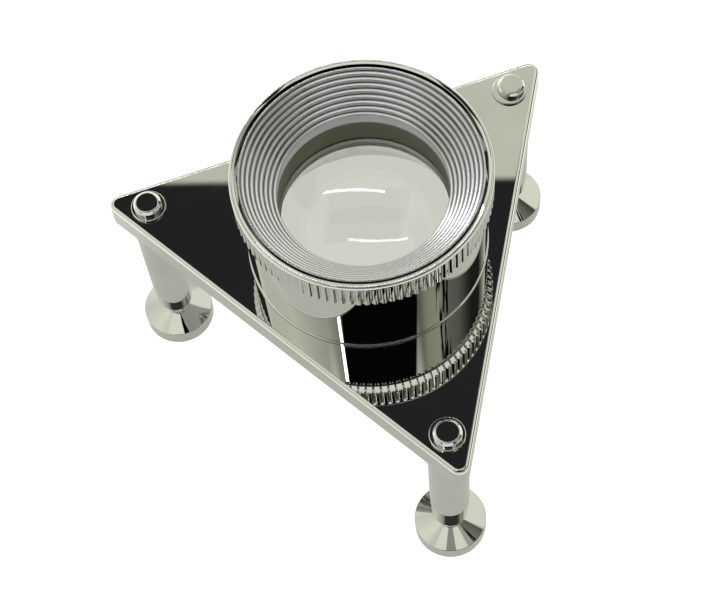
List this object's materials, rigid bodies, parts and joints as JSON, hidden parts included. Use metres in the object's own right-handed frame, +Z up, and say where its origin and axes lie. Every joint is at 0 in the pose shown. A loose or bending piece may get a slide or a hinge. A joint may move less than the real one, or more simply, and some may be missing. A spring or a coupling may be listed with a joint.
{
  "type": "viewing loupe",
  "caption": "Stand loupe: a lens in a short focusing barrel with a knurled ring, on a polished triangular plate with turned legs and flared feet.",
  "frame": {"origin": "centre of the footprint's box, on the surface the feet stand on; the lens axis is at x = 0, y = 9.825 mm", "axes": "+Z up along the lens axis, +X to the right, -Y towards the near leg"},
  "size_m": [0.0792, 0.0708, 0.0634],
  "materials": {
    "chrome_plate": "mirror-polished chrome plating on a flat plate",
    "chrome_leg": "polished chrome plating on turned posts",
    "chrome_foot": "polished chrome plating on turned feet",
    "chrome_fastener": "polished chrome plating",
    "chrome_barrel": "mirror-polished chrome plating",
    "chrome_ring": "chrome plating over a straight knurl",
    "eye_cone_metal": "fine-turned, with a row of grooves",
    "retainer_metal": "satin turned",
    "turned_aluminium": "turned",
    "spring_steel": "drawn",
    "optical_glass": "polished, clear"
  },
  "bodies": {
    "stand": {"base_plate": "chrome_plate", "leg_post_near": "chrome_leg", "leg_foot_near": "chrome_foot", "leg_washer_near": "chrome_fastener", "leg_rivet_near": "chrome_fastener", "leg_post_right": "chrome_leg", "leg_foot_right": "chrome_foot", "leg_washer_right": "chrome_fastener", "leg_rivet_right": "chrome_fastener", "leg_post_left": "chrome_leg", "leg_foot_left": "chrome_foot", "leg_washer_left": "chrome_fastener", "leg_rivet_left": "chrome_fastener", "barrel_tube": "chrome_barrel", "barrel_nut": "turned_aluminium", "ring_clip": "spring_steel"},
    "ring": {"focus_ring": "chrome_ring"},
    "carrier": {"eye_cone": "eye_cone_metal", "lens_cell": "turned_aluminium", "guide_key": "spring_steel", "lens": "optical_glass", "lens_retainer": "retainer_metal"}
  },
  "joints": [
    {"name": "focus_turn", "type": "hinge", "parent": "stand", "child": "ring", "pos_m": [0, 0.00983, 0.0598], "axis": [0, 0, 1], "range_deg": [0, 300]},
    {"name": "focus_rise", "type": "slide", "parent": "stand", "child": "carrier", "axis": [0, 0, 1], "range_m": [0, 0.0025]}
  ],
  "couplings": [
    {"joint": "focus_turn", "follows": "focus_rise", "rad_per_m": 2094.4}
  ]
}
